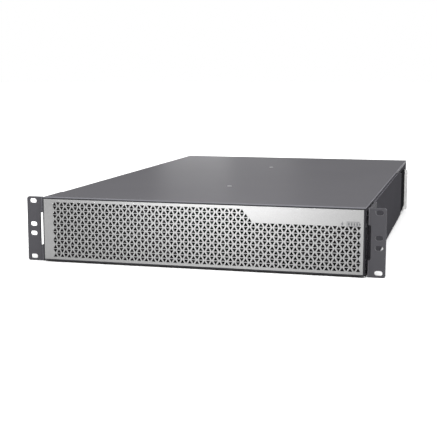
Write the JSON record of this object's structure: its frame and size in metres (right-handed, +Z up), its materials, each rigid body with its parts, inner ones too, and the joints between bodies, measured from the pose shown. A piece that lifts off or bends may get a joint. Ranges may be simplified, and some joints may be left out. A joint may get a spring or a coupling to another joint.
{
  "type": "rack-mount uninterruptible power supply",
  "caption": "Low, deep rack-mount backup power unit with a perforated pull-off bezel, slotted rack ears, sliding battery module, rear fans, power inlet and outlets.",
  "frame": {"origin": "bottom centre of the whole unit", "axes": "+Z up, +X to the viewer's right when facing the front, the bezel faces -Y"},
  "size_m": [0.4824, 0.7068, 0.0875],
  "materials": {
    "grey_paint": "satin powder coat",
    "dark_paint": "satin powder coat",
    "ear_paint": "satin powder coat",
    "silver_paint": "fine metallic silver",
    "bright_zinc": "new zinc plate",
    "zinc": "zinc plated",
    "bare_steel": "galvanised",
    "nickel": "nickel plated",
    "aluminium": "extruded, matte",
    "brass": "satin",
    "copper": "tinned edge copper bar",
    "copper_winding": "enamelled wire",
    "ferrite": "matte ferrite",
    "black_screw": "black zinc",
    "black_plastic": "fine texture",
    "bezel_plastic": "fine texture",
    "grey_plastic": "smooth",
    "white_plastic": "smooth",
    "filter_foam": "open-cell foam",
    "rubber": "matte",
    "board_green": "solder mask",
    "black_epoxy": "moulded epoxy",
    "capacitor_sleeve": "shrink sleeve",
    "cell_sleeve": "shrink sleeve",
    "terminal_green": "moulded",
    "light_lens": "clear tinted lens"
  },
  "bodies": {
    "chassis": {"chassis_tray": "dark_paint", "top_cover": "grey_paint", "cover_screws": "zinc", "cover_braces": "bare_steel", "side_plates": "dark_paint", "rack_ear_left": "ear_paint", "rack_ear_right": "ear_paint", "side_screws": "black_screw", "guide_blocks": "black_plastic", "rear_brackets": "bright_zinc", "chassis_pads": "rubber", "front_frame": "bare_steel", "middle_bulkhead": "bare_steel", "battery_receptacle": "black_plastic", "main_board": "board_green", "board_standoffs": "brass", "heat_sinks": "aluminium", "power_transistors": "black_epoxy", "transformer_core": "ferrite", "transformer_winding": "copper_winding", "chokes": "copper_winding", "capacitors": "capacitor_sleeve", "relays": "black_epoxy", "input_filter": "bare_steel", "control_board": "board_green", "busbars": "copper", "fan_panel": "grey_paint", "power_panel": "grey_paint", "comms_panel": "grey_paint", "fan_frames": "black_plastic", "fan_screws": "black_screw", "power_inlet": "black_plastic", "inlet_pins": "nickel", "outlet_banks": "black_plastic", "high_current_outlet": "black_plastic", "input_breaker": "black_plastic", "network_faceplate": "zinc", "network_port": "nickel", "network_thumbscrews": "nickel", "battery_socket": "black_plastic", "usb_port": "nickel", "emergency_off_terminal": "terminal_green", "status_lights": "light_lens", "earth_stud": "brass"},
    "fan_outer": {"fan_rotor_outer": "black_plastic"},
    "fan_inner": {"fan_rotor_inner": "black_plastic"},
    "breaker_button": {"breaker_button": "white_plastic"},
    "power_button": {"power_button": "grey_plastic"},
    "bezel": {"bezel_frame": "bezel_plastic", "bezel_grille": "silver_paint", "bezel_filter": "filter_foam"},
    "latch_left": {"bezel_latch_left": "black_plastic"},
    "latch_right": {"bezel_latch_right": "black_plastic"},
    "battery": {"battery_case": "bare_steel", "battery_faceplate": "dark_paint", "battery_handle": "black_plastic", "battery_thumbscrews": "zinc", "battery_cells": "cell_sleeve", "management_board": "board_green", "battery_plug": "black_plastic"}
  },
  "joints": [
    {"name": "bezel_slide", "type": "slide", "parent": "chassis", "child": "bezel", "axis": [0, -1, 0], "range_m": [0, 0.36]},
    {"name": "battery_slide", "type": "slide", "parent": "chassis", "child": "battery", "axis": [0, -1, 0], "range_m": [0, 0.324]},
    {"name": "latch_left_squeeze", "type": "slide", "parent": "bezel", "child": "latch_left", "axis": [1, 0, 0], "range_m": [0, 0.0014], "stiffness_N_per_m": 1500, "springref_m": -0.001},
    {"name": "latch_right_squeeze", "type": "slide", "parent": "bezel", "child": "latch_right", "axis": [-1, 0, 0], "range_m": [0, 0.0014], "stiffness_N_per_m": 1500, "springref_m": -0.001},
    {"name": "fan_outer_spin", "type": "hinge", "parent": "chassis", "child": "fan_outer", "pos_m": [-0.18, 0.33, 0.045], "axis": [0, 1, 0], "continuous": true},
    {"name": "fan_inner_spin", "type": "hinge", "parent": "chassis", "child": "fan_inner", "pos_m": [-0.118, 0.33, 0.045], "axis": [0, 1, 0], "continuous": true},
    {"name": "breaker_reset", "type": "slide", "parent": "chassis", "child": "breaker_button", "axis": [0, -1, 0], "range_m": [0, 0.0024], "stiffness_N_per_m": 900, "springref_m": -0.001},
    {"name": "power_press", "type": "slide", "parent": "chassis", "child": "power_button", "axis": [0, -1, 0], "range_m": [0, 0.002], "stiffness_N_per_m": 600, "springref_m": -0.001}
  ],
  "couplings": [
    {"joint": "battery_slide", "follows": "bezel_slide", "ratio": 0.9}
  ]
}
